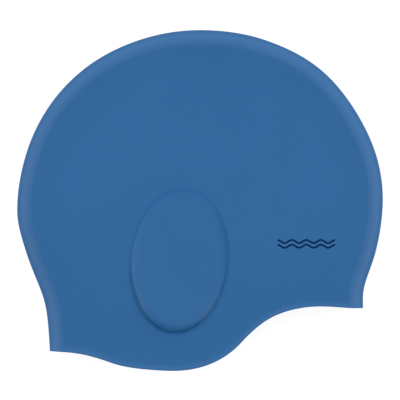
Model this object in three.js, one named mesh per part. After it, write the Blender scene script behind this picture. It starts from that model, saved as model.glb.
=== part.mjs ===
// Swim cap of moulded silicone with an ear pocket in each side, lying on its side.
//
// Millimetres. The cap lies on the plane z = 0 as it does when it is put down: +X points to
// the forehead, +Y to the crown and +Z up, and the origin is the middle of its footprint.
// It is one moulding. A rounded fold runs from the nape corner over the crown to the front
// corner and joins an upper and a lower side panel. Each panel bulges out into an ear pocket.
// The rim closes the outline and is an open mouth between the two panels. The lower one's rim
// lies flat, and the upper one's flares up a little.

import * as THREE from 'three';
import { mergeVertices } from 'three/addons/utils/BufferGeometryUtils.js';

// Driving dimensions.
const WALL = 1.0;
const FOLD_RADIUS = 10; // outer rounding of the fold, half of the thickness that the cap lies at
const MIDDLE = FOLD_RADIUS; // height of the fold's crest
const FLARE_RISE = 0.9; // how far the upper rim stands up at its edge
const FLARE_WIDTH = 4.2;
const LIFT_REACH = 45; // how far round its pocket the lower panel is held off the floor

// The flat outline. A row is a point that the outline passes, and its heading there in degrees
// from +X. Between two rows it turns as an arc does.
const FOLD_LINE = [
  { place: 'nape corner', x: -92.0, y: -92.6, heading: 92 },
  { place: 'nape', x: -93.3, y: -73.9, heading: 95.5 },
  { place: 'nape hollow', x: -97.4, y: -55.6, heading: 111 },
  { place: 'below the occiput', x: -106.8, y: -31.0, heading: 107 },
  { place: 'occiput', x: -112.0, y: -6.4, heading: 90 },
  { place: 'back', x: -105.8, y: 30.4, heading: 72 },
  { place: 'upper back', x: -94.2, y: 54.8, heading: 57.5 },
  { place: 'crown behind', x: -79.0, y: 73.3, heading: 44 },
  { place: 'crown behind top', x: -52.7, y: 91.7, heading: 26 },
  { place: 'crown top', x: 0.0, y: 104.1, heading: 0 },
  { place: 'crown before top', x: 40.2, y: 97.9, heading: -19 },
  { place: 'crown in front', x: 76.0, y: 78.1, heading: -42 },
  { place: 'upper forehead', x: 98.7, y: 48.7, heading: -60.5 },
  { place: 'forehead', x: 110.4, y: 17.5, heading: -79.5 },
  { place: 'foremost', x: 112.0, y: -0.3, heading: -91 },
  { place: 'brow', x: 107.8, y: -31.0, heading: -104 },
  { place: 'front hollow', x: 101.7, y: -49.4, heading: -108 },
  { place: 'above the front corner', x: 99.9, y: -58.0, heading: -94 },
  { place: 'front corner', x: 99.9, y: -66.2, heading: -90 },
];
const RIM_LINE = [
  { place: 'front corner', x: 99.9, y: -66.2, heading: 180 },
  { place: 'temple', x: 73.9, y: -64.9, heading: 180 },
  { place: 'before the ear', x: 48.9, y: -69.3, heading: 200.5 },
  { place: 'cheek', x: 24.8, y: -87.4, heading: 227.5 },
  { place: 'under the ear, front', x: -9.0, y: -103.9, heading: 186 },
  { place: 'under the ear', x: -30.4, y: -103.6, heading: 175.5 },
  { place: 'behind the ear', x: -54.6, y: -99.2, heading: 160.5 },
  { place: 'nape hem', x: -74.0, y: -93.8, heading: 170.5 },
  { place: 'nape corner', x: -92.0, y: -92.6, heading: 180 },
];

// Shallow hollows where the upper panel sags: middle, half widths and depth.
const SAGS = [
  { place: 'middle of the panel', x: 5, y: 15, reachX: 100, reachY: 95, depth: 2.2 },
  { place: 'middle of the rim', x: 25, y: -100, reachX: 95, reachY: 75, depth: 2.0 },
];

// The ear pocket: an oval whose top leans to the forehead, raised over the panel by a plateau.
const POCKET = { x: -12.7, y: -37.4, halfWidth: 28.8, halfHeight: 43.4, lean: 6 };
const PLATEAU_MIDDLE = 0.8; // how far the plateau's middle stands out
const PLATEAU_ROUNDING = 0.3; // share of the pocket's size over which its middle is rounded
// The pocket's edge by the clock, in degrees from its forehead side: how far the plateau stands
// out, the angle and width of its bend, the radii of its shoulder and its foot, and the
// steepness of its wall.
const POCKET_EDGE = [
  { place: 'front', clock: 0, height: 0.6, ease: 3, run: 1.5, shoulder: 0.15, foot: 0.2, steep: 80 },
  { place: 'front, up', clock: 30, height: 0.2, ease: 2, run: 1.2, shoulder: 0.15, foot: 0.15, steep: 75 },
  { place: 'top, front', clock: 60, height: 0.05, ease: 2, run: 1.2, shoulder: 0.4, foot: 0.4, steep: 60 },
  { place: 'top', clock: 90, height: 0.05, ease: 2, run: 1.0, shoulder: 1.0, foot: 1.0, steep: 40 },
  { place: 'top, back', clock: 120, height: 0.06, ease: 3, run: 1.5, shoulder: 1.0, foot: 1.0, steep: 40 },
  { place: 'back, up', clock: 150, height: 0.5, ease: 10, run: 5.0, shoulder: 0.6, foot: 0.6, steep: 60 },
  { place: 'back', clock: 180, height: 1.15, ease: 16, run: 7.0, shoulder: 0.2, foot: 0.25, steep: 72 },
  { place: 'back, down', clock: 210, height: 2.8, ease: 20, run: 6.0, shoulder: 0.3, foot: 0.35, steep: 64 },
  { place: 'low, back', clock: 240, height: 4.0, ease: 46, run: 5.0, shoulder: 0.4, foot: 0.9, steep: 68 },
  { place: 'bottom', clock: 270, height: 4.2, ease: 52, run: 5.0, shoulder: 0.5, foot: 1.0, steep: 72 },
  { place: 'low, front', clock: 300, height: 3.2, ease: 42, run: 5.2, shoulder: 0.35, foot: 0.7, steep: 70 },
  { place: 'front, down', clock: 330, height: 1.8, ease: 17, run: 4.5, shoulder: 0.25, foot: 0.3, steep: 62 },
];
const POCKET_WALL = 0.85; // the inner skin of the pocket's edge is drawn in by this, sideways
const DRAWN_IN = { from: -16, full: -8, until: 1 }; // where it is, by distance outside the contour

// The mesh: stations round the outline, and rings from the outline in to the pocket's middle.
const STATION_STEP = 14;
const CORNER_STEPS = { fold: [4, 10], rim: [1.2, 3, 5.5, 9, 14] };
const BAND_ANGLES = [0, 18, 36, 54, 72, 90];
const RIM_BAND = 8; // the band's rings lie closer together along the rim
const CORNER_BLEND = 30; // within this of a corner the band's rings turn to run round it
const PANEL_RINGS = [0.3, 0.6, 0.85];
const PANEL_BOW = { fold: 0.35, rim: 0.12 }; // share of the way in before the lines bend to the pocket
const APRON = 6; // the pocket's outermost ring lies this far outside its contour
const FOOT_RING = 0.4; // share of the foot's width
const RING_GAP = 0.1; // keeps the rings of the pocket's edge apart
const PLATEAU_RINGS = [0.75, 0.4];
const CONTOUR_EVENNESS = 0.5; // how far the stations are spread evenly round the pocket

const radians = THREE.MathUtils.degToRad;
const SLOPE_STEP = 0.05; // over which the slope of the panel's relief is measured
const ON_CREST = 0.02; // a point this close to the outline is on the fold's crest
const WELD = 0.005; // corners of triangles closer than this are one vertex
const CENTRE_SHARE = 0.01; // nearer to the pocket's middle than this share of its size is its middle
const SILICONE = { color: 0x356a9c, roughness: 0.5, metalness: 0 };

// The outline

// A curve through the rows, with the handles that an arc between two of them would have.
function curveThrough(rows) {
  const path = new THREE.CurvePath();
  for (let i = 0; i + 1 < rows.length; i++) {
    const [from, to] = [rows[i], rows[i + 1]];
    const start = new THREE.Vector2(from.x, from.y);
    const end = new THREE.Vector2(to.x, to.y);
    const turn = radians(to.heading - from.heading);
    const handle = (2 / 3) * start.distanceTo(end) / (1 + Math.cos(turn / 2));
    const leave = directionOf(from.heading).multiplyScalar(handle).add(start);
    const arrive = directionOf(to.heading).multiplyScalar(-handle).add(end);
    path.add(new THREE.CubicBezierCurve(start, leave, arrive, end));
  }
  return path;
}

function directionOf(heading) {
  return new THREE.Vector2(Math.cos(radians(heading)), Math.sin(radians(heading)));
}

// Both curves run clockwise seen from above, so outward is to the left of the heading.
function outwardAt(path, share) {
  const tangent = path.getTangent(THREE.MathUtils.clamp(share, 0, 1));
  return new THREE.Vector2(-tangent.y, tangent.x);
}

const foldPath = curveThrough(FOLD_LINE);
const rimPath = curveThrough(RIM_LINE);

// A fine polyline of a path with its outward directions, run straight on past both ends.
function tracedLine(path) {
  const steps = Math.round(path.getLength());
  const line = [];
  for (let i = 0; i <= steps; i++) {
    line.push({ point: path.getPoint(i / steps), outward: outwardAt(path, i / steps) });
  }
  const runOn = (end, sign) => {
    const along = new THREE.Vector2(end.outward.y, -end.outward.x).multiplyScalar(sign * FOLD_RADIUS);
    return { point: end.point.clone().add(along), outward: end.outward };
  };
  return [runOn(line[0], -1), ...line, runOn(line[steps], 1)];
}

// How deep inside the line (x, y) lies, and the line's outward direction there.
function depthBehind(line, x, y) {
  let best = Infinity;
  let found = null;
  for (let i = 0; i + 1 < line.length; i++) {
    const [a, b] = [line[i].point, line[i + 1].point];
    const [dx, dy] = [b.x - a.x, b.y - a.y];
    const along = ((x - a.x) * dx + (y - a.y) * dy) / (dx * dx + dy * dy);
    const t = THREE.MathUtils.clamp(along, 0, 1);
    const gap = Math.hypot(a.x + t * dx - x, a.y + t * dy - y);
    if (gap < best) {
      best = gap;
      found = { i, t };
    }
  }
  const outward = line[found.i].outward.clone().lerp(line[found.i + 1].outward, found.t).normalize();
  return { depth: best, outward };
}

const foldTrace = tracedLine(foldPath);
const rimTrace = tracedLine(rimPath);

// The ear pocket

// A column of the table by the clock, on a smooth curve through its rows.
function edgeValue(column, clock) {
  const count = POCKET_EDGE.length;
  const turn = THREE.MathUtils.euclideanModulo(clock, 360) * count / 360;
  const first = Math.floor(turn);
  const valueAt = (row) => POCKET_EDGE[(row + count) % count][column];
  const [before, start, end, after] = [first - 1, first, first + 1, first + 2].map(valueAt);
  const t = turn - first;
  const bend = 2 * before - 5 * start + 4 * end - after;
  const twist = 3 * (start - end) + after - before;
  return start + (t / 2) * (end - before + t * (bend + t * twist));
}

// A step across and up the leaning pocket as a step in the row's axes.
function fromPocket(across, up) {
  return new THREE.Vector2(across, up).rotateAround(new THREE.Vector2(), -radians(POCKET.lean));
}

// Grows with the distance from the pocket's middle, evenly but for the rounding there.
function rounded(ratio) {
  return Math.hypot(ratio, PLATEAU_ROUNDING) - PLATEAU_ROUNDING;
}

// Where (x, y) lies on the pocket: distance outside its contour, the way out, clock, and
// plateau height.
function pocketPlace(x, y) {
  const lean = radians(POCKET.lean);
  const [dx, dy] = [x - POCKET.x, y - POCKET.y];
  const across = dx * Math.cos(lean) - dy * Math.sin(lean);
  const up = dx * Math.sin(lean) + dy * Math.cos(lean);
  const share = Math.hypot(across / POCKET.halfWidth, up / POCKET.halfHeight);
  const ratio = Math.max(share, CENTRE_SHARE);
  const steepness = Math.hypot(across / POCKET.halfWidth ** 2, up / POCKET.halfHeight ** 2) / ratio;
  const clock = THREE.MathUtils.radToDeg(Math.atan2(up / POCKET.halfHeight, across / POCKET.halfWidth));
  const rise = edgeValue('height', clock) - PLATEAU_MIDDLE;
  return {
    outside: (ratio - 1) / Math.max(steepness, CENTRE_SHARE / POCKET.halfHeight),
    outward: fromPocket(across / POCKET.halfWidth ** 2, up / POCKET.halfHeight ** 2).normalize(),
    clock,
    height: PLATEAU_MIDDLE + rise * rounded(Math.min(ratio, 1)) / rounded(1),
  };
}

// The section of the pocket's edge: a gentle bend, a shoulder, a straight wall and a foot.
function edgeSection(clock, height) {
  const shoulder = edgeValue('shoulder', clock);
  const foot = edgeValue('foot', clock);
  const ease = radians(edgeValue('ease', clock));
  const steepest = radians(edgeValue('steep', clock));
  const run = edgeValue('run', clock);
  const bend = run / Math.sin(ease);
  const bendDrop = bend * (1 - Math.cos(ease));
  const level = (bendDrop + shoulder * Math.cos(ease) + foot - height) / (shoulder + foot);
  const steep = Math.acos(THREE.MathUtils.clamp(level, Math.cos(steepest), Math.cos(ease)));
  const drop = bendDrop + shoulder * (Math.cos(ease) - Math.cos(steep)) + foot * (1 - Math.cos(steep));
  const wall = Math.max(height - drop, 0) / Math.tan(steep);
  const easeEnd = -wall - shoulder * (Math.sin(steep) - Math.sin(ease));
  return {
    shoulder, foot, bend, bendDrop, ease, steep,
    footEnd: foot * Math.sin(steep),
    wallTop: -wall,
    easeEnd,
    easeStart: easeEnd - run,
  };
}

// How far the pocket stands out of its panel.
function pocketHeight(place) {
  const edge = edgeSection(place.clock, place.height);
  const r = place.outside;
  if (r >= edge.footEnd) return 0;
  if (r >= 0) return edge.foot - Math.sqrt(edge.foot ** 2 - (edge.footEnd - r) ** 2);
  if (r >= edge.wallTop) return edge.foot * (1 - Math.cos(edge.steep)) - r * Math.tan(edge.steep);
  if (r >= edge.easeEnd) {
    const run = edge.shoulder * Math.sin(edge.ease) + (r - edge.easeEnd);
    const drop = edge.shoulder * Math.cos(edge.ease) - Math.sqrt(edge.shoulder ** 2 - run ** 2);
    return place.height - edge.bendDrop - drop;
  }
  if (r >= edge.easeStart) {
    return place.height - edge.bend + Math.sqrt(edge.bend ** 2 - (r - edge.easeStart) ** 2);
  }
  return place.height;
}

// The panels

// How far a panel lies inside the plain flat one at (x, y), but for its pocket: the upper one
// sags and flares at the rim, and the lower one is held off the floor round its pocket.
function relief(x, y, side, place) {
  if (side === 'lower') {
    return place.height * (1 - THREE.MathUtils.smoothstep(place.outside, 0, LIFT_REACH));
  }
  let inward = 0;
  for (const sag of SAGS) {
    const share = ((x - sag.x) / sag.reachX) ** 2 + ((y - sag.y) / sag.reachY) ** 2;
    inward += sag.depth * Math.max(1 - share, 0) ** 2;
  }
  const flare = Math.max(1 - depthBehind(rimTrace, x, y).depth / FLARE_WIDTH, 0);
  return inward - FLARE_RISE * flare ** 2;
}

// The slope of a panel's relief along x and along y.
function reliefSlope(x, y, side) {
  const at = (dx, dy) => relief(x + dx, y + dy, side, pocketPlace(x + dx, y + dy));
  const along = (dx, dy) => (at(dx, dy) - at(-dx, -dy)) / (2 * SLOPE_STEP);
  return new THREE.Vector2(along(SLOPE_STEP, 0), along(0, SLOPE_STEP));
}

// The point of a skin over (x, y): of the outer skin, or of the inner one a wall inside it.
function skinPoint(x, y, side, skin) {
  const { depth, outward } = depthBehind(foldTrace, x, y);
  const cos = depth < ON_CREST ? 1 : Math.max(1 - depth / FOLD_RADIUS, 0);
  const sin = Math.sqrt(1 - cos * cos);
  const place = pocketPlace(x, y);
  const inward = relief(x, y, side, place) - pocketHeight(place);
  const point = new THREE.Vector3(x, y, FOLD_RADIUS * sin - inward * sin * sin);
  if (skin === 'inner') {
    const roll = cos * (1 - 2 * inward * sin / FOLD_RADIUS);
    const slope = reliefSlope(x, y, side).multiplyScalar(sin ** 3).addScaledVector(outward, roll);
    point.addScaledVector(new THREE.Vector3(slope.x, slope.y, sin).normalize(), -WALL);
    const before = THREE.MathUtils.smoothstep(place.outside, DRAWN_IN.from, DRAWN_IN.full);
    const after = THREE.MathUtils.smoothstep(place.outside, DRAWN_IN.until, APRON);
    const drawn = POCKET_WALL * before * (1 - after);
    point.x -= drawn * place.outward.x;
    point.y -= drawn * place.outward.y;
  }
  point.z = side === 'upper' ? MIDDLE + point.z : MIDDLE - point.z;
  return point;
}

// The mesh

// Distances along a path: close steps from each end, and even ones between.
function stationDistances(length, cornerSteps) {
  const first = cornerSteps[cornerSteps.length - 1];
  const count = Math.round((length - 2 * first) / STATION_STEP);
  const even = [];
  for (let i = 1; i < count; i++) even.push(first + (length - 2 * first) * i / count);
  const fromEnd = cornerSteps.map((step) => length - step).reverse();
  return [...cornerSteps, ...even, ...fromEnd];
}

// The stations of one path. Each has its point, the step from there over its band, and, if it
// is on the rim, the way that its lip faces: the outline is drawn to the lip, so the skins end a
// little inside it. The path's ends are corners, where the other path's band is crossed too.
function stationsOn(path, cornerSteps, ownBand, otherBand, outwardBefore, outwardAfter) {
  const length = path.getLength();
  return [0, ...stationDistances(length, cornerSteps)].map((distance) => {
    const outward = outwardAt(path, distance / length);
    const otherOutward = distance < length / 2 ? outwardBefore : outwardAfter;
    const fromCorner = Math.min(distance, length - distance);
    const turned = 1 - THREE.MathUtils.smoothstep(fromCorner, 0, CORNER_BLEND);
    const inset = outward.clone().multiplyScalar(-ownBand);
    inset.addScaledVector(otherOutward, -otherBand * turned);
    let lip = null;
    if (path === rimPath) lip = outward;
    else if (distance === 0) lip = otherOutward;
    const point = path.getPoint(distance / length);
    if (lip) point.addScaledVector(lip, -WALL / 2);
    const ownBow = path === rimPath ? PANEL_BOW.rim : PANEL_BOW.fold;
    const bow = THREE.MathUtils.lerp(ownBow, PANEL_BOW.fold, turned);
    return { point, inset, lip, fromCorner, bow };
  });
}

// All stations, clockwise from the nape corner. One on the rim within the fold's rounding meets
// its corner: it shares the corner's rings inside the band.
function makeStations() {
  const [foldStart, foldEnd] = [0, 1].map((end) => outwardAt(foldPath, end));
  const [rimStart, rimEnd] = [0, 1].map((end) => outwardAt(rimPath, end));
  const fold = stationsOn(foldPath, CORNER_STEPS.fold, FOLD_RADIUS, RIM_BAND, rimEnd, rimStart);
  const rim = stationsOn(rimPath, CORNER_STEPS.rim, RIM_BAND, FOLD_RADIUS, foldEnd, foldStart);
  const [napeCorner, frontCorner] = [fold[0], rim[0]];
  rim.slice(1).forEach((station, i) => {
    if (station.fromCorner < FOLD_RADIUS) station.meets = i < rim.length / 2 ? frontCorner : napeCorner;
  });
  return [...fold, ...rim];
}

// A point of the pocket's contour by its clock, moved outward.
function contourPoint(clock, outside) {
  const [cos, sin] = [Math.cos(radians(clock)), Math.sin(radians(clock))];
  const normal = new THREE.Vector2(cos / POCKET.halfWidth, sin / POCKET.halfHeight).setLength(outside);
  const point = fromPocket(POCKET.halfWidth * cos + normal.x, POCKET.halfHeight * sin + normal.y);
  return point.add(new THREE.Vector2(POCKET.x, POCKET.y));
}

// The clock at which each station's rings meet the pocket.
function contourClocks(stations) {
  const clocks = stations.map(({ point }) => pocketPlace(point.x, point.y).clock);
  for (let i = 1; i < clocks.length; i++) {
    while (clocks[i] > clocks[i - 1]) clocks[i] -= 360;
  }
  const even = clocks.map((_, i) => clocks[0] - 360 * i / clocks.length);
  const lag = clocks.reduce((sum, clock, i) => sum + clock - even[i], 0) / clocks.length;
  return clocks.map((clock, i) => THREE.MathUtils.lerp(clock, even[i] + lag, CONTOUR_EVENNESS));
}

// The plan of a station's rings, from the outline in to the pocket's middle.
function ringPlan(station, clock) {
  const plan = BAND_ANGLES.map((angle) => {
    const share = 1 - Math.cos(radians(angle));
    return station.point.clone().addScaledVector(station.inset, share);
  });
  const bandEnd = plan[plan.length - 1];
  const apron = contourPoint(clock, APRON);
  const straight = station.inset.clone().setLength(station.bow * bandEnd.distanceTo(apron));
  const across = new THREE.QuadraticBezierCurve(bandEnd, bandEnd.clone().add(straight), apron);
  for (const share of PANEL_RINGS) plan.push(across.getPoint(share));
  const onContour = contourPoint(clock, 0);
  const edge = edgeSection(clock, pocketPlace(onContour.x, onContour.y).height);
  const foot = [edge.footEnd, edge.footEnd * FOOT_RING, 0];
  const shoulder = [edge.wallTop, (edge.wallTop + edge.easeEnd) / 2, edge.easeEnd];
  const bend = [(edge.easeEnd + edge.easeStart) / 2, edge.easeStart];
  let before = Infinity;
  plan.push(apron);
  for (const offset of [...foot, ...shoulder, ...bend]) {
    before = Math.min(offset, before - RING_GAP);
    plan.push(contourPoint(clock, before));
  }
  const middle = new THREE.Vector2(POCKET.x, POCKET.y);
  const plateau = plan[plan.length - 1];
  for (const share of PLATEAU_RINGS) plan.push(middle.clone().lerp(plateau, share));
  plan.push(middle);
  return plan;
}

// The plans of all stations. One that meets a corner has that corner's rings inside the band.
function ringPlans(stations) {
  const leaders = stations.filter((station) => !station.meets);
  const clocks = contourClocks(leaders);
  const planOf = new Map(leaders.map((station, i) => [station, ringPlan(station, clocks[i])]));
  return stations.map((station) => {
    if (!station.meets) return planOf.get(station);
    const shared = planOf.get(station.meets).slice(BAND_ANGLES.length - 1);
    const band = BAND_ANGLES.slice(0, -1).map((angle) => {
      return station.point.clone().lerp(shared[0], 1 - Math.cos(radians(angle)));
    });
    return [...band, ...shared];
  });
}

// Two triangles for each cell between neighbouring stations and rings.
function skinTriangles(plans, side, skin) {
  const points = plans.map((plan) => plan.map(({ x, y }) => skinPoint(x, y, side, skin)));
  const facesDown = (side === 'upper') !== (skin === 'outer');
  const triangles = [];
  const add = (a, b, c) => {
    if (a.equals(b) || b.equals(c) || c.equals(a)) return;
    triangles.push(facesDown ? [a, b, c] : [a, c, b]);
  };
  for (let i = 0; i < points.length; i++) {
    const next = (i + 1) % points.length;
    const [here, there] = [points[i], points[next]];
    const last = here.length - 1;
    for (let k = 0; k < last - 1; k++) {
      const forward = plans[i][k].distanceTo(plans[next][k + 1]);
      const backward = plans[next][k].distanceTo(plans[i][k + 1]);
      if (forward < backward) {
        add(here[k], there[k], there[k + 1]);
        add(here[k], there[k + 1], here[k + 1]);
      } else {
        add(here[k], there[k], here[k + 1]);
        add(there[k], there[k + 1], here[k + 1]);
      }
    }
    add(here[last - 1], there[last - 1], here[last]);
  }
  return triangles;
}

// The lip along the rim of one panel: from the outer skin out to a ridge and back to the inner skin.
function lipTriangles(stations, side) {
  const sections = stations.map(({ point, lip }) => {
    if (!lip) return null;
    const outer = skinPoint(point.x, point.y, side, 'outer');
    const inner = skinPoint(point.x, point.y, side, 'inner');
    const ridge = outer.clone().lerp(inner, 0.5);
    ridge.add(new THREE.Vector3(lip.x, lip.y, 0).multiplyScalar(WALL / 2));
    return [outer, ridge, inner];
  });
  const triangles = [];
  const add = (a, b, c) => triangles.push(side === 'upper' ? [a, c, b] : [a, b, c]);
  for (let i = 0; i < sections.length; i++) {
    const [here, there] = [sections[i], sections[(i + 1) % sections.length]];
    if (!here || !there) continue;
    for (let k = 0; k < 2; k++) {
      add(here[k], here[k + 1], there[k + 1]);
      add(here[k], there[k + 1], there[k]);
    }
  }
  return triangles;
}

function capShell() {
  const stations = makeStations();
  const plans = ringPlans(stations);
  const triangles = [];
  for (const side of ['upper', 'lower']) {
    triangles.push(...skinTriangles(plans, side, 'outer'), ...skinTriangles(plans, side, 'inner'));
    triangles.push(...lipTriangles(stations, side));
  }
  const corners = triangles.flat().flatMap((corner) => corner.toArray());
  const soup = new THREE.BufferGeometry();
  soup.setAttribute('position', new THREE.Float32BufferAttribute(corners, 3));
  const geometry = mergeVertices(soup, WELD);
  geometry.computeVertexNormals();
  const mesh = new THREE.Mesh(geometry, new THREE.MeshStandardMaterial(SILICONE));
  mesh.name = 'cap_shell';
  return mesh;
}

const swimCap = new THREE.Group();
swimCap.name = 'swim_cap';
swimCap.add(capShell());

export default swimCap;
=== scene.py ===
import math
from collections import namedtuple

import bmesh
import bpy
import numpy as np
from mathutils.kdtree import KDTree
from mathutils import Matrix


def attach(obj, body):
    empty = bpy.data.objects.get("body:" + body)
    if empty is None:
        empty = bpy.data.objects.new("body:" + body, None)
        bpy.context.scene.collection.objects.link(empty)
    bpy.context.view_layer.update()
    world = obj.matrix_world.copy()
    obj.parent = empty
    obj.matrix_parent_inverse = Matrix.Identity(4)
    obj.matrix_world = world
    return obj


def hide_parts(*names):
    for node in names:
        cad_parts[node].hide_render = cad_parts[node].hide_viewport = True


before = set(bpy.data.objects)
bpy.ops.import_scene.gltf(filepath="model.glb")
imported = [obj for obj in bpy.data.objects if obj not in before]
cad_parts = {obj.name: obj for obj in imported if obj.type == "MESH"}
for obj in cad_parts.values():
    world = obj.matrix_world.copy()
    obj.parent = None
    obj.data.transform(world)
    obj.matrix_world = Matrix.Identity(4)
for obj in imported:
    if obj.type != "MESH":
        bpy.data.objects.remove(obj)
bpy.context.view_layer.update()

# A swim cap of moulded silicone with an ear pocket in each side, lying on its side.
# The cap is drawn in millimetres, in the frame's axes: +X to the forehead, +Y to the crown, +Z up.
MM = 0.001

# Driving sizes, as in the solid that the visible cap replaces
WALL = 1.0
FOLD_RADIUS = 10.0  # outer rounding of the fold, half of the thickness that the cap lies at
MIDDLE = FOLD_RADIUS  # height of the fold's crest
FLARE_RISE = 0.9  # how far the upper rim stands up at its edge
FLARE_WIDTH = 4.2
LIFT_REACH = 45.0  # how far round its pocket the lower panel is held off the floor

# The flat outline: points that it passes and its heading there, in degrees from +X.
OutlineRow = namedtuple("OutlineRow", "place x y heading")
FOLD_LINE = [
    OutlineRow("nape corner", -92.0, -92.6, 92),
    OutlineRow("nape", -93.3, -73.9, 95.5),
    OutlineRow("nape hollow", -97.4, -55.6, 111),
    OutlineRow("below the occiput", -106.8, -31.0, 107),
    OutlineRow("occiput", -112.0, -6.4, 90),
    OutlineRow("back", -105.8, 30.4, 72),
    OutlineRow("upper back", -94.2, 54.8, 57.5),
    OutlineRow("crown behind", -79.0, 73.3, 44),
    OutlineRow("crown behind top", -52.7, 91.7, 26),
    OutlineRow("crown top", 0.0, 104.1, 0),
    OutlineRow("crown before top", 40.2, 97.9, -19),
    OutlineRow("crown in front", 76.0, 78.1, -42),
    OutlineRow("upper forehead", 98.7, 48.7, -60.5),
    OutlineRow("forehead", 110.4, 17.5, -79.5),
    OutlineRow("foremost", 112.0, -0.3, -91),
    OutlineRow("brow", 107.8, -31.0, -104),
    OutlineRow("front hollow", 101.7, -49.4, -108),
    OutlineRow("above the front corner", 99.9, -58.0, -94),
    OutlineRow("front corner", 99.9, -66.2, -90),
]
RIM_LINE = [
    OutlineRow("front corner", 99.9, -66.2, 180),
    OutlineRow("temple", 73.9, -64.9, 180),
    OutlineRow("before the ear", 48.9, -69.3, 200.5),
    OutlineRow("cheek", 24.8, -87.4, 227.5),
    OutlineRow("under the ear, front", -9.0, -103.9, 186),
    OutlineRow("under the ear", -30.4, -103.6, 175.5),
    OutlineRow("behind the ear", -54.6, -99.2, 160.5),
    OutlineRow("nape hem", -74.0, -93.8, 170.5),
    OutlineRow("nape corner", -92.0, -92.6, 180),
]

# Shallow hollows where the upper panel sags.
Sag = namedtuple("Sag", "place x y reach_x reach_y depth")
SAGS = [
    Sag("middle of the panel", 5, 15, 100, 95, 2.2),
    Sag("middle of the rim", 25, -100, 95, 75, 2.0),
]

# The ear pocket: an oval whose top leans to the forehead, raised over the panel by a plateau.
POCKET_X, POCKET_Y = -12.7, -37.4
POCKET_HALF_WIDTH, POCKET_HALF_HEIGHT = 28.8, 43.4
POCKET_LEAN = math.radians(6)
PLATEAU_MIDDLE = 0.8  # how far the plateau's middle stands out
PLATEAU_ROUNDING = 0.3  # share of the pocket's size over which its middle is rounded
CENTRE_SHARE = 0.01  # nearer to the pocket's middle than this share of its size is its middle

# The pocket's edge by the clock, in degrees from its forehead side: how far the plateau stands
# out, the angle and width of its bend, the radii of its shoulder and its foot, the steepness
# of its wall, and how strongly its line is darkened with painted shade.
EdgeRow = namedtuple("EdgeRow", "place clock height ease run shoulder foot steep shade")
POCKET_EDGE = [
    EdgeRow("front", 0, 0.6, 3, 1.5, 0.15, 0.2, 80, 0.95),
    EdgeRow("front, up", 30, 0.2, 2, 1.2, 0.15, 0.15, 75, 1.0),
    EdgeRow("top, front", 60, 0.05, 2, 1.2, 0.4, 0.4, 60, 0.2),
    EdgeRow("top", 90, 0.05, 2, 1.0, 1.0, 1.0, 40, 0.0),
    EdgeRow("top, back", 120, 0.06, 3, 1.5, 1.0, 1.0, 40, 0.0),
    EdgeRow("back, up", 150, 0.5, 10, 5.0, 0.6, 0.6, 60, 0.1),
    EdgeRow("back", 180, 1.15, 16, 7.0, 0.2, 0.25, 72, 0.25),
    EdgeRow("back, down", 210, 2.8, 20, 6.0, 0.3, 0.35, 64, 0.95),
    EdgeRow("low, back", 240, 4.0, 46, 5.0, 0.4, 0.9, 68, 1.0),
    EdgeRow("bottom", 270, 4.2, 52, 5.0, 0.5, 1.0, 72, 1.0),
    EdgeRow("low, front", 300, 3.2, 42, 5.2, 0.35, 0.7, 70, 1.0),
    EdgeRow("front, down", 330, 1.8, 17, 4.5, 0.25, 0.3, 62, 0.65),
]
POCKET_WALL = 0.85  # the inner skin of the pocket's edge is drawn in by this, sideways
DRAWN_FROM, DRAWN_FULL, DRAWN_UNTIL = -16.0, -8.0, 1.0  # where, by distance outside the contour

# The mesh: stations round the outline, and rings from the outline in to the pocket's middle.
STATION_STEP = 2.2
CORNER_STEPS = {  # distances of the stations next to a corner
    "fold": [1.7, 3.0, 4.5, 6.2, 8.1],
    "rim": [0.5, 1.1, 1.8, 2.6, 3.5, 4.5, 5.7, 7.0, 8.5, 10.2, 12.0],
}
BAND_STEPS = 14
RIM_BAND = 8.0  # the band's rings lie closer together along the rim
CORNER_BLEND = 30.0  # within this of a corner the band's rings turn to run round it
PANEL_STEPS = 15
BOW_FOLD, BOW_RIM = 0.35, 0.12  # share of the way in before the lines bend to the pocket
APRON = 6.0  # the pocket's outermost ring lies this far outside its contour
APRON_STEPS, EDGE_STEPS, PLATEAU_STEPS = 4, 4, 7
RING_GAP = 0.02  # keeps the rings of the pocket's edge apart
CONTOUR_EVENNESS = 0.5  # how far the stations are spread evenly round the pocket
LIP_STEPS = 6
TRACE_STEPS = 60  # points of an outline between two rows
ARC_HANDLE = 2 / 3  # how long a flat arc's two handles are together, over its chord
SLOPE_STEP = 0.05  # over which the slope of the panel's relief is measured
ON_CREST = 0.002  # a point this close to the outline is on the fold's crest
WELD = 0.001  # corners closer than this are one vertex


# The outline

Line = namedtuple("Line", "points outward distance tree")


def direction(heading):
    return np.array([math.cos(math.radians(heading)), math.sin(math.radians(heading))])


def unit(vectors):
    return vectors / np.linalg.norm(vectors, axis=-1, keepdims=True)


def smoothstep(share):
    share = np.clip(share, 0.0, 1.0)
    return share * share * (3.0 - 2.0 * share)


def arc_between(start, end):
    """Points and tangents of the curve between two rows, with the handles of an arc."""
    a, d = np.array([start.x, start.y]), np.array([end.x, end.y])
    turn = math.radians(end.heading - start.heading)
    handle = ARC_HANDLE * np.linalg.norm(d - a) / (1 + math.cos(turn / 2))
    b = a + handle * direction(start.heading)
    c = d - handle * direction(end.heading)
    t = np.linspace(0, 1, TRACE_STEPS + 1)[:, None]
    s = 1 - t
    points = s ** 3 * a + 3 * s ** 2 * t * b + 3 * s * t ** 2 * c + t ** 3 * d
    tangents = s ** 2 * (b - a) + 2 * s * t * (c - b) + t ** 2 * (d - c)
    return points, unit(tangents)


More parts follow.
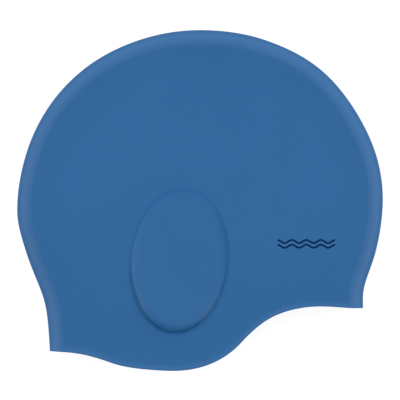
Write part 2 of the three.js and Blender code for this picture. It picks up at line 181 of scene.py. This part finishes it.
def traced_line(rows):
    """A fine polyline through the rows, run straight on past both ends. Both outlines run
    clockwise seen from above, so outward is to the left of the heading."""
    points, tangents = [], []
    for start, end in zip(rows, rows[1:]):
        piece = arc_between(start, end)
        skip = 1 if points else 0
        points.extend(piece[0][skip:])
        tangents.extend(piece[1][skip:])
    points.insert(0, points[0] - FOLD_RADIUS * tangents[0])
    tangents.insert(0, tangents[0])
    points.append(points[-1] + FOLD_RADIUS * tangents[-1])
    tangents.append(tangents[-1])
    points, tangents = np.array(points), np.array(tangents)
    distance = np.concatenate([[0], np.cumsum(np.linalg.norm(np.diff(points, axis=0), axis=1))])
    tree = KDTree(len(points))
    for i, (x, y) in enumerate(points):
        tree.insert((x, y, 0.0), i)
    tree.balance()
    outward = np.stack([-tangents[:, 1], tangents[:, 0]], axis=1)
    return Line(points, outward, distance - FOLD_RADIUS, tree)


def line_length(line):
    return line.distance[-2]


def on_line(line, distance):
    """The point of a line at a distance along it, and the outward direction there."""
    values = np.hstack([line.points, line.outward])
    x, y, u, v = (np.interp(distance, line.distance, column) for column in values.T)
    return np.array([x, y]), unit(np.array([u, v]))


def depth_behind(line, xy):
    """How deep inside the line each point lies, and the line's outward direction there."""
    nearest = np.array([line.tree.find((x, y, 0.0))[1] for x, y in xy])
    depth = np.full(len(xy), np.inf)
    outward = np.zeros_like(xy)
    for first in (nearest - 1, nearest):
        first = np.clip(first, 0, len(line.points) - 2)
        start, run = line.points[first], line.points[first + 1] - line.points[first]
        t = np.clip(np.sum((xy - start) * run, axis=1) / np.sum(run * run, axis=1), 0, 1)[:, None]
        gap = np.linalg.norm(start + t * run - xy, axis=1)
        facing = (1 - t) * line.outward[first] + t * line.outward[first + 1]
        closer = gap < depth
        depth[closer] = gap[closer]
        outward[closer] = facing[closer]
    return depth, unit(outward)


FOLD = traced_line(FOLD_LINE)
RIM = traced_line(RIM_LINE)


# The ear pocket

PocketPlace = namedtuple("PocketPlace", "outside outward clock height")
EdgeSection = namedtuple(
    "EdgeSection", "shoulder foot bend ease steep foot_end wall_top ease_end ease_start"
)


def pocket_axes(dx, dy):
    """A step in the row's axes as a step across and up the leaning pocket."""
    cos, sin = math.cos(POCKET_LEAN), math.sin(POCKET_LEAN)
    return dx * cos - dy * sin, dx * sin + dy * cos


def row_axes(across, up):
    """A step across and up the leaning pocket as a step in the row's axes."""
    cos, sin = math.cos(POCKET_LEAN), math.sin(POCKET_LEAN)
    return across * cos + up * sin, up * cos - across * sin


def rounded(ratio):
    """Grows with the distance from the pocket's middle, evenly but for the rounding there."""
    return np.hypot(ratio, PLATEAU_ROUNDING) - PLATEAU_ROUNDING


def pocket_place(xy):
    """Where points lie on the pocket: distance outside its contour, the way out, clock, and
    plateau height."""
    across, up = pocket_axes(xy[:, 0] - POCKET_X, xy[:, 1] - POCKET_Y)
    u, v = across / POCKET_HALF_WIDTH, up / POCKET_HALF_HEIGHT
    ratio = np.maximum(np.hypot(u, v), CENTRE_SHARE)
    steepness = np.hypot(u / POCKET_HALF_WIDTH, v / POCKET_HALF_HEIGHT) / ratio
    steepness = np.maximum(steepness, CENTRE_SHARE / POCKET_HALF_HEIGHT)
    clock = np.degrees(np.arctan2(v, u))
    rise = edge_value("height", clock) - PLATEAU_MIDDLE
    height = PLATEAU_MIDDLE + rise * (rounded(np.minimum(ratio, 1.0)) / rounded(1.0))
    outward = np.column_stack(row_axes(u / POCKET_HALF_WIDTH, v / POCKET_HALF_HEIGHT))
    outward = outward / (steepness * ratio)[:, None]
    return PocketPlace((ratio - 1) / steepness, outward, clock, height)


def edge_value(column, clock):
    """A column of the table by the clock, on a smooth curve through its rows."""
    values = np.array([getattr(row, column) for row in POCKET_EDGE], float)
    turn = np.mod(clock, 360) * len(values) / 360
    first = np.floor(turn).astype(int)
    before, start, end, after = (values[(first + step) % len(values)] for step in (-1, 0, 1, 2))
    t = turn - first
    bend = 2 * before - 5 * start + 4 * end - after
    twist = 3 * (start - end) + after - before
    return start + (t / 2) * (end - before + t * (bend + t * twist))


def edge_section(clock, height):
    """The section of the pocket's edge: a gentle bend, a shoulder, a straight wall and a foot."""
    shoulder, foot = edge_value("shoulder", clock), edge_value("foot", clock)
    steepest, ease = np.radians(edge_value("steep", clock)), np.radians(edge_value("ease", clock))
    bend = edge_value("run", clock) / np.sin(ease)
    ease_drop = bend * (1 - np.cos(ease))
    level = (ease_drop + shoulder * np.cos(ease) + foot - height) / (shoulder + foot)
    steep = np.arccos(np.clip(level, np.cos(steepest), np.cos(ease)))
    drop = ease_drop + shoulder * (np.cos(ease) - np.cos(steep)) + foot * (1 - np.cos(steep))
    wall = np.maximum(height - drop, 0) / np.tan(steep)
    ease_end = -wall - shoulder * (np.sin(steep) - np.sin(ease))
    foot_end = foot * np.sin(steep)
    ease_start = ease_end - bend * np.sin(ease)
    return EdgeSection(shoulder, foot, bend, ease, steep, foot_end, -wall, ease_end, ease_start)


def pocket_height(place):
    """How far the pocket stands out of its panel."""
    edge = edge_section(place.clock, place.height)
    r = place.outside
    foot_run = np.clip(edge.foot_end - r, 0, edge.foot_end)
    foot = edge.foot - np.sqrt(edge.foot ** 2 - foot_run ** 2)
    wall = edge.foot * (1 - np.cos(edge.steep)) - r * np.tan(edge.steep)
    run = np.clip(edge.shoulder * np.sin(edge.ease) + (r - edge.ease_end), 0, edge.shoulder)
    curve = edge.shoulder * np.cos(edge.ease) - np.sqrt(edge.shoulder ** 2 - run ** 2)
    shoulder = place.height - edge.bend * (1 - np.cos(edge.ease)) - curve
    ease_run = np.clip(r - edge.ease_start, 0, edge.bend)
    ease = place.height - edge.bend + np.sqrt(edge.bend ** 2 - ease_run ** 2)
    starts = [edge.foot_end, 0, edge.wall_top, edge.ease_end, edge.ease_start]
    heights = [0 * r, foot, wall, shoulder, ease]
    return np.select([r >= start for start in starts], heights, place.height)


def contour_point(clock, outside):
    """A point of the pocket's contour by its clock, moved outward."""
    way, half = direction(clock), np.array([POCKET_HALF_WIDTH, POCKET_HALF_HEIGHT])
    across, up = half * way + outside * unit(way / half)
    return np.array([POCKET_X, POCKET_Y]) + row_axes(across, up)


# The panels


def relief(xy, side, place):
    """How far a panel lies inside the plain flat one, but for its pocket: the upper one sags and
    flares at the rim, and the lower one is held off the floor round its pocket."""
    if side == "lower":
        return place.height * (1 - smoothstep(place.outside / LIFT_REACH))
    inward = np.zeros(len(xy))
    for sag in SAGS:
        share = ((xy[:, 0] - sag.x) / sag.reach_x) ** 2 + ((xy[:, 1] - sag.y) / sag.reach_y) ** 2
        inward += sag.depth * np.maximum(1 - share, 0) ** 2
    flare = np.maximum(1 - depth_behind(RIM, xy)[0] / FLARE_WIDTH, 0)
    return inward - FLARE_RISE * flare ** 2


def relief_slope(xy, side):
    """The slope of a panel's relief along x and along y."""
    slope = np.zeros_like(xy)
    for axis in (0, 1):
        step = SLOPE_STEP * np.eye(2)[axis]
        ahead = relief(xy + step, side, pocket_place(xy + step))
        behind = relief(xy - step, side, pocket_place(xy - step))
        slope[:, axis] = (ahead - behind) / (2 * SLOPE_STEP)
    return slope


def skin_points(xy, side, skin):
    """The points of a skin over xy: of the outer skin, or of the inner one a wall inside it."""
    depth, outward = depth_behind(FOLD, xy)
    cos = np.where(depth < ON_CREST, 1.0, np.maximum(1 - depth / FOLD_RADIUS, 0))
    sin = np.sqrt(1 - cos ** 2)
    place = pocket_place(xy)
    inward = relief(xy, side, place) - pocket_height(place)
    points = np.column_stack([xy, FOLD_RADIUS * sin - inward * sin ** 2])
    if skin == "inner":
        roll = cos * (1 - 2 * inward * sin / FOLD_RADIUS)
        slope = (sin ** 3)[:, None] * relief_slope(xy, side) + roll[:, None] * outward
        points -= WALL * unit(np.column_stack([slope, sin]))
        before = smoothstep((place.outside - DRAWN_FROM) / (DRAWN_FULL - DRAWN_FROM))
        after = smoothstep((place.outside - DRAWN_UNTIL) / (APRON - DRAWN_UNTIL))
        points[:, :2] -= (POCKET_WALL * before * (1 - after))[:, None] * place.outward
    points[:, 2] = MIDDLE + points[:, 2] if side == "upper" else MIDDLE - points[:, 2]
    return points


# The cap's mesh

Station = namedtuple("Station", "point inset lip bow corner")


def station_distances(length, corner_steps):
    """Distances along a line: close steps at each end, and even ones between."""
    first = corner_steps[-1]
    count = round((length - 2 * first) / STATION_STEP)
    even = np.linspace(first, length - first, count + 1)[1:-1]
    return [0.0, *corner_steps, *even, *(length - step for step in reversed(corner_steps))]


def stations_on(line, corner_steps, own_band, other_band, before, after):
    """The stations of one line. Each has its point, the step from there over its band, and, if
    it is on the rim, the way that its lip faces. The line's ends are corners, where the other
    line's band is crossed too. A rim station within the fold's rounding belongs to its corner."""
    length = line_length(line)
    stations = []
    for distance in station_distances(length, corner_steps):
        point, outward = on_line(line, distance)
        other = before if distance < length / 2 else after
        from_corner = min(distance, length - distance)
        turned = 1 - float(smoothstep(from_corner / CORNER_BLEND))
        inset = -own_band * outward - other_band * turned * other
        lip = None
        if line is RIM:
            lip = outward
        elif distance == 0:
            lip = other
        if lip is not None:
            point = point - lip * WALL / 2
        bow = BOW_RIM + (BOW_FOLD - BOW_RIM) * turned if line is RIM else BOW_FOLD
        corner = None
        if line is RIM and 0 < from_corner < FOLD_RADIUS:
            corner = "front" if distance < length / 2 else "nape"
        stations.append(Station(point, inset, lip, bow, corner))
    return stations


def make_stations():
    """All stations, clockwise from the nape corner, and the places of the two corners."""
    fold_ends = [on_line(FOLD, end)[1] for end in (0, line_length(FOLD))]
    rim_ends = [on_line(RIM, end)[1] for end in (0, line_length(RIM))]
    fold_steps, rim_steps = CORNER_STEPS["fold"], CORNER_STEPS["rim"]
    fold = stations_on(FOLD, fold_steps, FOLD_RADIUS, RIM_BAND, rim_ends[1], rim_ends[0])
    rim = stations_on(RIM, rim_steps, RIM_BAND, FOLD_RADIUS, fold_ends[1], fold_ends[0])
    return fold + rim, {"nape": 0, "front": len(fold)}


def contour_clocks(stations):
    """The clock at which each station's rings meet the pocket."""
    clocks = pocket_place(np.array([station.point for station in stations])).clock
    clocks = np.degrees(np.unwrap(np.radians(clocks)))
    even = clocks[0] - 360 * np.arange(len(clocks)) / len(clocks)
    lag = np.mean(clocks - even)
    return clocks + CONTOUR_EVENNESS * (even + lag - clocks)


def steps_between(start, end, count):
    return list(np.linspace(start, end, count + 1)[1:])


BAND_SHARES = 1 - np.cos(np.linspace(0, math.pi / 2, BAND_STEPS + 1))


def ring_plan(station, clock):
    """The plan of a station's rings, from the outline in to the pocket's middle."""
    plan = [station.point + share * station.inset for share in BAND_SHARES]
    band_end, apron = plan[-1], contour_point(clock, APRON)
    straight = station.bow * np.linalg.norm(apron - band_end) * unit(station.inset)
    for t in steps_between(0, 1, PANEL_STEPS):
        bend = band_end + straight
        plan.append((1 - t) ** 2 * band_end + 2 * (1 - t) * t * bend + t ** 2 * apron)
    place = pocket_place(contour_point(clock, 0)[None])
    edge = edge_section(place.clock, place.height)
    marks = [edge.foot_end, [0.0], edge.wall_top, edge.ease_end, edge.ease_start]
    marks = [APRON, *(float(mark[0]) for mark in marks)]
    offsets = steps_between(marks[0], marks[1], APRON_STEPS)
    for start, end in zip(marks[1:], marks[2:]):
        offsets += steps_between(start, end, EDGE_STEPS)
    offsets = np.minimum.accumulate(np.array(offsets) + RING_GAP * np.arange(len(offsets)))
    offsets = offsets - RING_GAP * np.arange(len(offsets))
    plan += [contour_point(clock, offset) for offset in offsets]
    middle, plateau = np.array([POCKET_X, POCKET_Y]), plan[-1]
    plan += [plateau + t * (middle - plateau) for t in steps_between(0, 1, PLATEAU_STEPS)]
    return np.array(plan)


def ring_plans():
    """The stations and the plans of their rings. One that belongs to a corner has that corner's
    rings inside the band."""
    stations, corners = make_stations()
    leaders = [i for i, station in enumerate(stations) if station.corner is None]
    clocks = contour_clocks([stations[i] for i in leaders])
    plans = {i: ring_plan(stations[i], clock) for i, clock in zip(leaders, clocks)}
    for i, station in enumerate(stations):
        if station.corner:
            shared = plans[corners[station.corner]][BAND_STEPS:]
            inset = shared[0] - station.point
            band = [station.point + share * inset for share in BAND_SHARES[:-1]]
            plans[i] = np.vstack([band, shared])
    return stations, np.array([plans[i] for i in range(len(stations))])


def grid_faces(rows, columns, first, closed, flip):
    """The quads of a grid of points, numbered row by row from first."""
    faces = []
    for i in range(rows if closed else rows - 1):
        for k in range(columns - 1):
            here, there = first + i * columns + k, first + (i + 1) % rows * columns + k
            face = (here, there, there + 1, here + 1)
            faces.append(face[::-1] if flip else face)
    return faces


def mesh_object(name, points, faces):
    """A smooth object of points in millimetres, with corners that lie together made one."""
    mesh = bpy.data.meshes.new(name)
    mesh.from_pydata((np.asarray(points) * MM).tolist(), [], faces)
    shape = bmesh.new()
    shape.from_mesh(mesh)
    bmesh.ops.remove_doubles(shape, verts=shape.verts, dist=WELD * MM)
    shape.to_mesh(mesh)
    shape.free()
    mesh.validate()
    mesh.shade_smooth()
    piece = bpy.data.objects.new(name, mesh)
    bpy.context.scene.collection.objects.link(piece)
    return piece


def lip_sections(stations, plans, side):
    """Half round sections of the rim's lip, from the outer skin to the inner one. The last one
    is at the nape corner, which is the first station."""
    edge = [i for i, station in enumerate(stations) if station.lip is not None]
    edge = edge[1:] + edge[:1]
    xy = plans[edge, 0]
    outer, inner = skin_points(xy, side, "outer"), skin_points(xy, side, "inner")
    lip = np.column_stack([[stations[i].lip for i in edge], np.zeros(len(edge))])
    centre, half = (outer + inner) / 2, (outer - inner) / 2
    angles = np.linspace(0, math.pi, LIP_STEPS + 1)
    sections = [centre + half * math.cos(a) + lip * (WALL / 2 * math.sin(a)) for a in angles]
    return np.stack(sections, axis=1)


def make_cap():
    stations, plans = ring_plans()
    rows, columns = plans.shape[:2]
    points, faces = [], []
    for side in ("upper", "lower"):
        for skin in ("outer", "inner"):
            flip = (side == "upper") == (skin == "outer")
            faces += grid_faces(rows, columns, len(points), True, flip)
            points += list(skin_points(plans.reshape(-1, 2), side, skin))
        lip = lip_sections(stations, plans, side)
        faces += grid_faces(lip.shape[0], lip.shape[1], len(points), False, side == "lower")
        points += list(lip.reshape(-1, 3))
    return mesh_object("silicone_cap", points, faces)


# The print: two plain wave lines on the upper panel, in front of the ear

PRINT_X, PRINT_Y = 65.0, -26.8
PRINT_LENGTH = 35.5
WAVES = 4
WAVE_RISE = 0.95  # of a wave's crest over its middle
WAVE_ROWS = [1.45, -1.45]
STROKE = 1.05
INK = 0.05  # how far the ink stands up
INK_SUNK = 0.03  # how far it reaches into the wall, so that no gap shows under it
STROKE_STEPS = 120
END_STEPS = 6
ACROSS_STEPS = 4


def stroke_plan(offset):
    """Rows across a wave stroke, from one round end to the other."""
    xs = np.linspace(-PRINT_LENGTH / 2 + STROKE / 2, PRINT_LENGTH / 2 - STROKE / 2, STROKE_STEPS)
    phase = 2 * math.pi * WAVES * xs / PRINT_LENGTH
    line = np.column_stack([xs, offset + WAVE_RISE * np.cos(phase)])
    slope = -WAVE_RISE * 2 * math.pi * WAVES / PRINT_LENGTH * np.sin(phase)
    along = unit(np.column_stack([np.ones_like(xs), slope]))
    half_widths = np.full(len(xs), STROKE / 2)
    angles = np.linspace(0, math.pi / 2, END_STEPS + 1)[1:]
    reach, narrow = STROKE / 2 * np.sin(angles), STROKE / 2 * np.cos(angles)
    head = line[0] - reach[::-1, None] * along[0]
    tail = line[-1] + reach[:, None] * along[-1]
    line = np.vstack([head, line, tail])
    along = np.repeat(along, [1 + END_STEPS, *[1] * (len(along) - 2), 1 + END_STEPS], axis=0)
    half_widths = np.concatenate([narrow[::-1], half_widths, narrow])
    left = np.column_stack([-along[:, 1], along[:, 0]])
    shares = np.linspace(1, -1, ACROSS_STEPS + 1)
    plan = line[:, None] + shares[None, :, None] * (half_widths[:, None] * left)[:, None]
    return plan + np.array([PRINT_X, PRINT_Y])


def make_print():
    points, faces = [], []
    for offset in WAVE_ROWS:
        plan = stroke_plan(offset)
        rows, columns = plan.shape[:2]
        skin = skin_points(plan.reshape(-1, 2), "upper", "outer").reshape(rows, columns, 3)
        top, bottom = skin + [0, 0, INK], skin - [0, 0, INK_SUNK]
        loop = np.concatenate([top, bottom[:, ::-1], top[:, :1]], axis=1)
        faces += grid_faces(rows, loop.shape[1], len(points), False, False)
        points += list(loop.reshape(-1, 3))
    return mesh_object("printed_waves", points, faces)


# Materials

IOR = 1.45

# The panels are mottled a little, and painted shade darkens them next to the fold and low down, so
# they are palest in their middle.
CAP_BLUE = (0.0272, 0.1610, 0.4180, 1.0)
CAP_BLUE_MOTTLE_AND_SHADE = (0.0231, 0.1520, 0.3930, 1.0)
PALE_FROM, PALE_TO = 6.0, 34.0  # the painted shade next to the fold fades out between these depths
PALE_LOW, PALE_HIGH = -65.0, 45.0  # and the painted shade low on the panel fades out from the cheek up between these heights
CLOUD_SHARE = 0.35  # of the noise in how pale the panels are
MATT_LEAST, MATT_MOST = 0.37, 0.43  # their roughness varies between these

# The fold is matt from its crest in to this depth, and painted shade darkens its colour there.
CAP_BLUE_CREST_SHADE = (0.0180, 0.1200, 0.3150, 1.0)
CREST_DEPTH = 4.2
CREST_ROUGHNESS = 0.95

# Along the pocket's contour the moulding is smoother in one line, and another line is darkened
# with painted shade: how far outside the contour each line's middle lies, and how far it fades
# each way.
CAP_BLUE_CONTOUR_SHADE = (0.0178, 0.1350, 0.3500, 1.0)
CONTOUR_ROUGHNESS = 0.12
SMOOTH_OFFSET, SMOOTH_REACH = 0.5, 2.1
SHADE_OFFSET, SHADE_REACH = -0.1, 3.0

INK_NAVY = (0.0005, 0.0140, 0.1000, 1.0)
INK_MATT_LEAST, INK_MATT_MOST = 0.34, 0.46
INK_SPECULAR = 0.1

# Noise: how many features it has in a metre, and how many finer layers are added to it.
NoiseKind = namedtuple("NoiseKind", "scale detail")
CLOUDS = NoiseKind(28.0, 3.0)
BLUSH = NoiseKind(160.0, 3.0)
SWELL = NoiseKind(90.0, 2.0)
GRAIN = NoiseKind(2600.0, 2.0)
INK_BLUSH = NoiseKind(900.0, 2.0)
INK_GRAIN = NoiseKind(3200.0, 2.0)
NOISE_LOW, NOISE_HIGH = 0.3, 0.7  # nearly all of the noise lies between these

# Heights of the reliefs that the noise makes
SWELL_HEIGHT = 0.03 * MM
GRAIN_HEIGHT = 0.006 * MM
INK_GRAIN_HEIGHT = 0.004 * MM

MIX_FIRST, MIX_SECOND, MIX_COLOUR = 6, 7, 2  # the sockets of a mix node that blends colours


class Nodes:
    """A short way to write a node tree."""

    def __init__(self, tree):
        self.tree = tree
        tree.nodes.clear()

    def add(self, kind, inputs=None, **settings):
        node = self.tree.nodes.new(kind)
        for name, value in settings.items():
            setattr(node, name, value)
        for name, value in (inputs or {}).items():
            if isinstance(value, bpy.types.NodeSocket):
                self.tree.links.new(value, node.inputs[name])
            else:
                node.inputs[name].default_value = value
        return node


def mark_places(piece):
    """Marks how near each point of the cap is to the crest, to a panel's middle and to the two
    lines along the pocket's contour, from 0 to 1. The crest, one of the contour lines and the
    panels away from their middle are darkened with painted shade."""
    points = np.empty(len(piece.data.vertices) * 3)
    piece.data.vertices.foreach_get("co", points)
    xy = points.reshape(-1, 3)[:, :2] / MM
    depth = depth_behind(FOLD, xy)[0]
    up = smoothstep((xy[:, 1] - PALE_LOW) / (PALE_HIGH - PALE_LOW))
    place = pocket_place(xy)
    shade = 1 - smoothstep(np.abs(place.outside - SHADE_OFFSET) / SHADE_REACH)
    marks = {
        "contour": 1 - smoothstep(np.abs(place.outside - SMOOTH_OFFSET) / SMOOTH_REACH),
        # painted shade along the pocket's contour, strongest where the plateau stands high
        "step": shade * np.clip(edge_value("shade", place.clock), 0, 1),
        # near the crest: matt, and darkened there with painted shade
        "crest": 1 - smoothstep(depth / CREST_DEPTH),
        # where the panels are free of painted shade: away from the fold and high up
        "middle": up * smoothstep((depth - PALE_FROM) / (PALE_TO - PALE_FROM)),
    }
    for name, values in marks.items():
        mark = piece.data.attributes.new(name, "FLOAT", "POINT")
        mark.data.foreach_set("value", values)


def noise(nodes, place, kind):
    inputs = {"Vector": place, "Scale": kind.scale, "Detail": kind.detail}
    return nodes.add("ShaderNodeTexNoise", inputs).outputs["Fac"]


def spread(nodes, value, low, high):
    """A noise value stretched to run from low to high."""
    inputs = {"Value": value, "From Min": NOISE_LOW, "From Max": NOISE_HIGH}
    inputs.update({"To Min": low, "To Max": high})
    return nodes.add("ShaderNodeMapRange", inputs).outputs["Result"]


def mark_value(nodes, name):
    return nodes.add("ShaderNodeAttribute", attribute_name=name).outputs["Fac"]


def bump(nodes, height, distance, **under):
    """The way that the surface faces with a relief on it, or on the one that is given."""
    inputs = {"Height": height, "Strength": 1.0, "Distance": distance, **under}
    return nodes.add("ShaderNodeBump", inputs).outputs["Normal"]


def calculate(nodes, operation, *values):
    return nodes.add("ShaderNodeMath", dict(enumerate(values)), operation=operation).outputs[0]


def between(nodes, share, start, end):
    """A value that runs from one to another, each a number or a node's output."""
    inputs = {"Value": share, "To Min": start, "To Max": end}
    return nodes.add("ShaderNodeMapRange", inputs).outputs["Result"]


def blend(nodes, share, start, end):
    """A colour between two others, each a colour or a node's output."""
    mix = nodes.add("ShaderNodeMix", {"Factor": share}, data_type="RGBA")
    for socket, colour in ((mix.inputs[MIX_FIRST], start), (mix.inputs[MIX_SECOND], end)):
        if isinstance(colour, bpy.types.NodeSocket):
            nodes.tree.links.new(colour, socket)
        else:
            socket.default_value = colour
    return mix.outputs[MIX_COLOUR]


def silicone_material():
    material = bpy.data.materials.new("moulded_silicone")
    material.use_nodes = True
    nodes = Nodes(material.node_tree)
    place = nodes.add("ShaderNodeTexCoord").outputs["Object"]
    crest = mark_value(nodes, "crest")
    cloud = spread(nodes, noise(nodes, place, CLOUDS), -CLOUD_SHARE, CLOUD_SHARE)
    # painted shade next to the fold and low down, mixed with real mottling
    pale = calculate(nodes, "ADD", mark_value(nodes, "middle"), cloud)
    panel = blend(nodes, pale, CAP_BLUE_MOTTLE_AND_SHADE, CAP_BLUE)
    # painted shade along the pocket's contour
    panel = blend(nodes, mark_value(nodes, "step"), panel, CAP_BLUE_CONTOUR_SHADE)
    blush = spread(nodes, noise(nodes, place, BLUSH), MATT_LEAST, MATT_MOST)
    matt = between(nodes, crest, blush, CREST_ROUGHNESS)
    wide = bump(nodes, noise(nodes, place, SWELL), SWELL_HEIGHT)
    shader = nodes.add("ShaderNodeBsdfPrincipled", {
        # painted shade on the fold's crest
        "Base Color": blend(nodes, crest, panel, CAP_BLUE_CREST_SHADE),
        "Roughness": between(nodes, mark_value(nodes, "contour"), matt, CONTOUR_ROUGHNESS),
        "Normal": bump(nodes, noise(nodes, place, GRAIN), GRAIN_HEIGHT, Normal=wide),
        "IOR": IOR,
    })
    nodes.add("ShaderNodeOutputMaterial", {"Surface": shader.outputs["BSDF"]})
    return material


def ink_material():
    material = bpy.data.materials.new("printed_ink")
    material.use_nodes = True
    nodes = Nodes(material.node_tree)
    place = nodes.add("ShaderNodeTexCoord").outputs["Object"]
    shader = nodes.add("ShaderNodeBsdfPrincipled", {
        "Base Color": INK_NAVY,
        "Roughness": spread(nodes, noise(nodes, place, INK_BLUSH), INK_MATT_LEAST, INK_MATT_MOST),
        "Normal": bump(nodes, noise(nodes, place, INK_GRAIN), INK_GRAIN_HEIGHT),
        "IOR": IOR,
        "Specular IOR Level": INK_SPECULAR,
    })
    nodes.add("ShaderNodeOutputMaterial", {"Surface": shader.outputs["BSDF"]})
    return material


# Stage, light and camera

WHITE = (1.0, 1.0, 1.0, 1.0)
FLOOR_HALF = 3.0
FLOOR_GREY = (0.35, 0.35, 0.35, 1.0)  # what it reflects, on top of a glow of its own
FLOOR_ROUGHNESS = 0.9
FLOOR_GLOW = 0.85
SKY_ENDS = 1.335  # light from the forehead's and the nape's side
SKY_CROWN = 0.955
SKY_FRONT = 0.18
SKY_DIM = 0.17  # overhead
OVERHEAD_DIM = (math.radians(9), math.radians(27))  # from the zenith, where the camera is
FRONT = math.radians(265)  # the way, from +X, in which least light shines
FRONT_DIM = (math.radians(42), math.radians(60))  # round from there
LEAST_SIDEWAYS = 0.01  # of a direction, for those that point straight up or down
CAMERA_HEIGHT = 4.0  # over the fold's crest
FRAME_WIDTH = 0.2450  # of the view at the fold's crest
SENSOR = 36.0
CLIP_END = 20.0


def make_floor():
    mesh = bpy.data.meshes.new("floor")
    corners = [(-1, -1), (1, -1), (1, 1), (-1, 1)]
    mesh.from_pydata([(x * FLOOR_HALF, y * FLOOR_HALF, 0) for x, y in corners], [], [(0, 1, 2, 3)])
    material = bpy.data.materials.new("floor_white")
    material.use_nodes = True
    nodes = Nodes(material.node_tree)
    shader = nodes.add("ShaderNodeBsdfPrincipled", {
        "Base Color": FLOOR_GREY,
        "Roughness": FLOOR_ROUGHNESS,
        "Specular IOR Level": 0.0,
        "Emission Color": WHITE,
        "Emission Strength": FLOOR_GLOW,
    })
    nodes.add("ShaderNodeOutputMaterial", {"Surface": shader.outputs["BSDF"]})
    mesh.materials.append(material)
    floor = bpy.data.objects.new("floor", mesh)
    bpy.context.scene.collection.objects.link(floor)


def falling(nodes, value, angles):
    """1 where value is over the cosine of the first angle, falling to 0 at that of the second."""
    inputs = {"Value": value, "From Min": math.cos(angles[1]), "From Max": math.cos(angles[0])}
    node = nodes.add("ShaderNodeMapRange", inputs, interpolation_type="SMOOTHSTEP")
    return node.outputs["Result"]


def make_sky():
    """Soft light from the crown's side and both ends, and dim overhead and from the rim's side."""
    world = bpy.data.worlds.new("studio")
    world.use_nodes = True
    bpy.context.scene.world = world
    nodes = Nodes(world.node_tree)
    place = nodes.add("ShaderNodeTexCoord").outputs["Generated"]
    way = nodes.add("ShaderNodeSeparateXYZ", {"Vector": place}).outputs
    up_squared = calculate(nodes, "MULTIPLY", way["Z"], way["Z"])
    sideways = calculate(nodes, "SQRT", calculate(nodes, "SUBTRACT", 1.0, up_squared))
    sideways = calculate(nodes, "MAXIMUM", sideways, LEAST_SIDEWAYS)
    to_crown = calculate(nodes, "DIVIDE", way["Y"], sideways)
    along_x = calculate(nodes, "MULTIPLY", way["X"], math.cos(FRONT))
    along_y = calculate(nodes, "MULTIPLY", way["Y"], math.sin(FRONT))
    to_front = calculate(nodes, "ADD", along_x, along_y)
    front = falling(nodes, calculate(nodes, "DIVIDE", to_front, sideways), FRONT_DIM)
    overhead = falling(nodes, way["Z"], OVERHEAD_DIM)
    around = between(nodes, to_crown, SKY_ENDS, SKY_CROWN)
    around = between(nodes, front, around, SKY_FRONT)
    light = nodes.add("ShaderNodeBackground", {
        "Color": WHITE,
        "Strength": between(nodes, overhead, around, SKY_DIM),
    })
    nodes.add("ShaderNodeOutputWorld", {"Surface": light.outputs["Background"]})


def make_camera():
    lens = bpy.data.cameras.new("camera")
    lens.sensor_width = SENSOR
    lens.lens = SENSOR * CAMERA_HEIGHT / FRAME_WIDTH
    lens.clip_end = CLIP_END
    camera = bpy.data.objects.new("camera", lens)
    camera.location = (0.0, 0.0, CAMERA_HEIGHT + MIDDLE * MM)
    bpy.context.scene.collection.objects.link(camera)
    bpy.context.scene.camera = camera


make_camera()
make_floor()
make_sky()
bpy.context.scene.view_settings.view_transform = "Standard"

cap = make_cap()
mark_places(cap)
cap.data.materials.append(silicone_material())
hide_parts("cap_shell")
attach(cap, "root")

waves = make_print()
waves.data.materials.append(ink_material())
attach(waves, "root")
